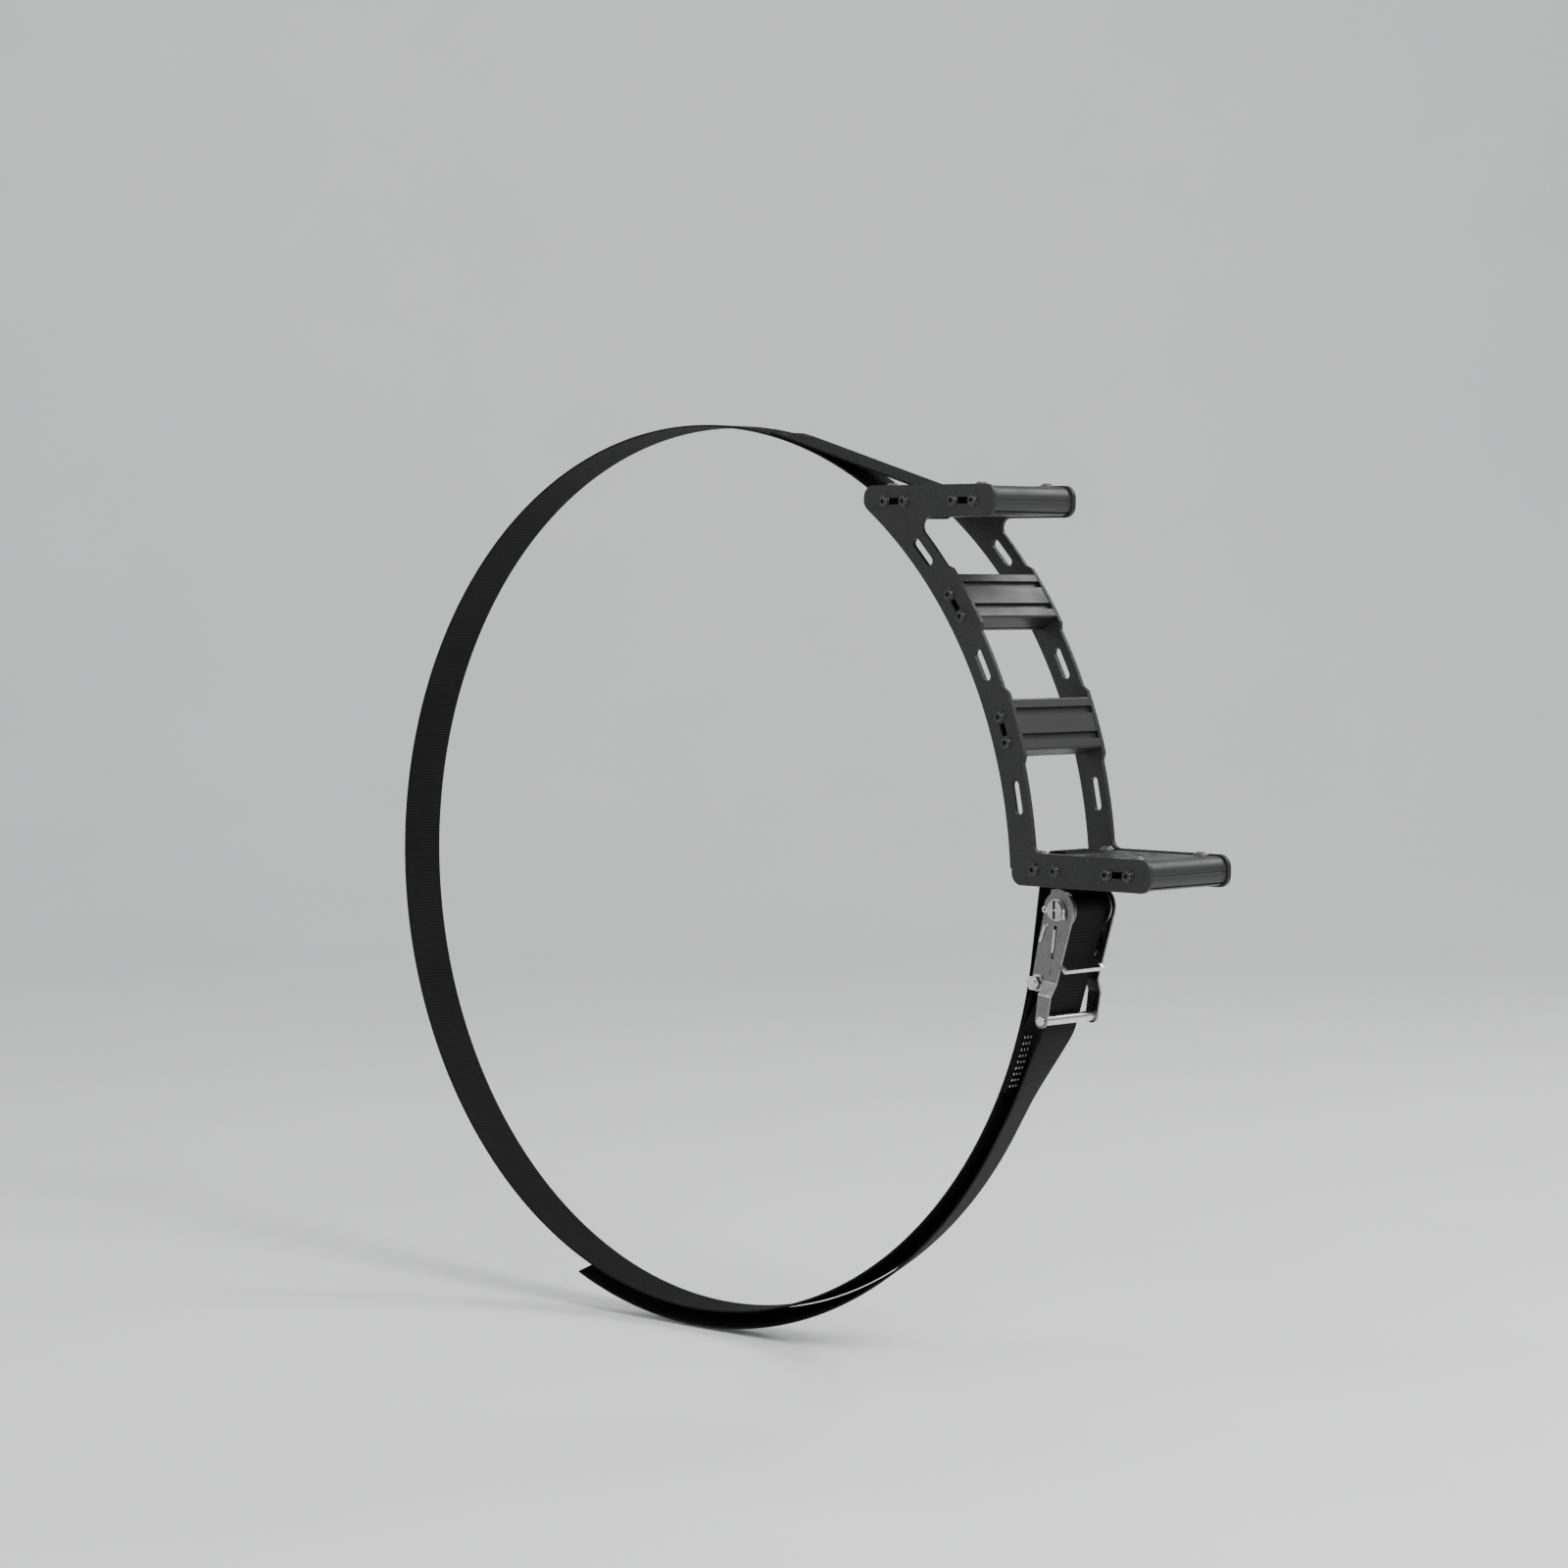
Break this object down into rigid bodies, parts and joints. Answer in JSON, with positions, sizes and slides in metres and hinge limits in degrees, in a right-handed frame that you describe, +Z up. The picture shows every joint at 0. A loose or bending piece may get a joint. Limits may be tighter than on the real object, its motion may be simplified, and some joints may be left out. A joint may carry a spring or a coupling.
{
  "type": "tire ladder",
  "caption": "Step ladder strapped round a mounted tire: side plates joined by treads and slats, held by a webbing strap with a ratchet tensioner.",
  "frame": {"origin": "on the tire's axis, midway between the two side plates", "axes": "+X away from the tire through the ladder, +Y along the tire's axis, +Z up"},
  "size_m": [1.0776, 0.1286, 0.9189],
  "materials": {
    "plate_black": "fine textured black powder coat",
    "tread_black": "satin black anodised extrusion",
    "slat_black": "satin black anodised extrusion",
    "stud_grey": "satin",
    "screw_black": "black oxide",
    "webbing_black": "ribbed woven polyester",
    "tail_black": "ribbed woven polyester",
    "ratchet_zinc": "satin zinc plate",
    "mandrel_zinc": "zinc plate",
    "pawl_zinc": "zinc plate",
    "grip_zinc": "polished zinc plate",
    "fastener_zinc": "bright zinc plate",
    "pin_zinc": "bright zinc plate",
    "spring_steel": "spring steel"
  },
  "bodies": {
    "ladder": {"side_plate_outer": "plate_black", "side_plate_inner": "plate_black", "upper_tread": "tread_black", "lower_tread": "tread_black", "upper_slat": "slat_black", "lower_slat": "slat_black", "upper_studs": "stud_grey", "lower_studs": "stud_grey", "tread_screws_outer": "screw_black", "tread_screws_inner": "screw_black", "slat_screws_outer": "screw_black", "slat_screws_inner": "screw_black", "main_strap": "webbing_black", "anchor_loop": "webbing_black", "tail_on_tire": "tail_black", "base_plate_outer": "ratchet_zinc", "base_plate_inner": "ratchet_zinc", "locking_spring": "spring_steel", "base_spring_perch": "ratchet_zinc", "anchor_bolt": "fastener_zinc", "anchor_spacer": "fastener_zinc", "anchor_washer": "fastener_zinc", "anchor_nut": "fastener_zinc"},
    "handle": {"handle_plate_outer": "ratchet_zinc", "handle_plate_inner": "ratchet_zinc", "grip_tube": "grip_zinc", "grip_rivet": "fastener_zinc", "drive_spring": "spring_steel", "handle_spring_perch": "ratchet_zinc", "tail_in_handle": "tail_black"},
    "mandrel": {"mandrel_half_inboard": "mandrel_zinc", "mandrel_half_outboard": "mandrel_zinc", "ratchet_wheels": "ratchet_zinc", "wound_webbing": "webbing_black", "cotter_pins": "pin_zinc", "mandrel_washers": "fastener_zinc"},
    "drive_pawl": {"drive_pawl": "pawl_zinc"},
    "lock_pawl": {"locking_pawl": "pawl_zinc"}
  },
  "joints": [
    {"name": "handle_hinge", "type": "hinge", "parent": "ladder", "child": "handle", "pos_m": [0.487, 0, -0.013], "axis": [0, -1, 0], "range_deg": [0, 90]},
    {"name": "mandrel_spin", "type": "hinge", "parent": "ladder", "child": "mandrel", "pos_m": [0.487, 0, -0.013], "axis": [0, 1, 0], "continuous": true},
    {"name": "drive_pawl_slide", "type": "slide", "parent": "handle", "child": "drive_pawl", "axis": [-0.1271, 0, -0.9919], "range_m": [-0.0035, 0.006], "stiffness_N_per_m": 1500},
    {"name": "lock_pawl_slide", "type": "slide", "parent": "ladder", "child": "lock_pawl", "axis": [-0.3551, 0, -0.9348], "range_m": [-0.0035, 0.001], "stiffness_N_per_m": 1500}
  ]
}
